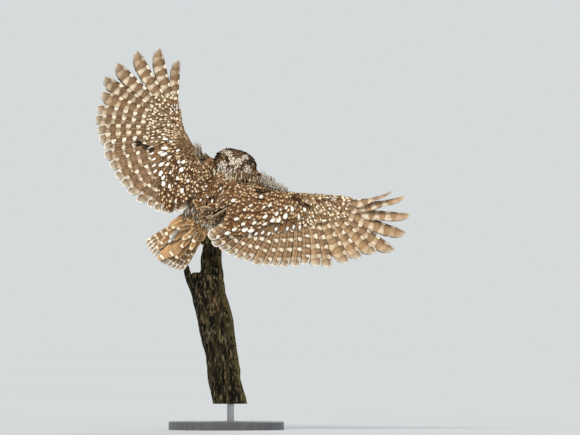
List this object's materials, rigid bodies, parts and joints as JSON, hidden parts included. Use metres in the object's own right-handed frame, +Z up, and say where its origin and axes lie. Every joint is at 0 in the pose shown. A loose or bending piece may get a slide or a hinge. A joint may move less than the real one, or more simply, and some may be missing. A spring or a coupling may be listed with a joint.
{
  "type": "little owl model",
  "caption": "Life-size little owl landing on the broken top of a dead forked stick, wings spread and tail fanned, held up by a round base and a short rod.",
  "frame": {"origin": "middle of the round base's underside, where it stands on the floor", "axes": "+Z up; +Y away from the picture's viewer, into the scene; +X to the viewer's right, along the right wing"},
  "size_m": [0.45, 0.2073, 0.5433],
  "materials": {
    "plumage": "soft brown feathers with pale spots and bars",
    "eye": "wet gloss, yellow iris round a black pupil",
    "bill": "horn, satin",
    "toe": "bristled skin",
    "claw": "dark horn, satin",
    "bark": "weathered bark with moss and lichen",
    "stand": "painted, satin",
    "rod": "brushed"
  },
  "bodies": {
    "root": {"torso": "plumage", "neck": "plumage", "head": "plumage", "wing_left": "plumage", "wing_right": "plumage", "tail": "plumage", "thigh_left": "plumage", "thigh_right": "plumage", "tarsus_left": "plumage", "tarsus_right": "plumage", "eye_left": "eye", "eye_right": "eye", "bill_upper": "bill", "bill_lower": "bill", "foot_left": "toe", "foot_right": "toe", "claw_left_1": "claw", "claw_left_2": "claw", "claw_left_3": "claw", "claw_left_4": "claw", "claw_right_1": "claw", "claw_right_2": "claw", "claw_right_3": "claw", "claw_right_4": "claw", "perch": "bark", "stand_base": "stand", "stand_rod": "rod"}
  },
  "joints": []
}
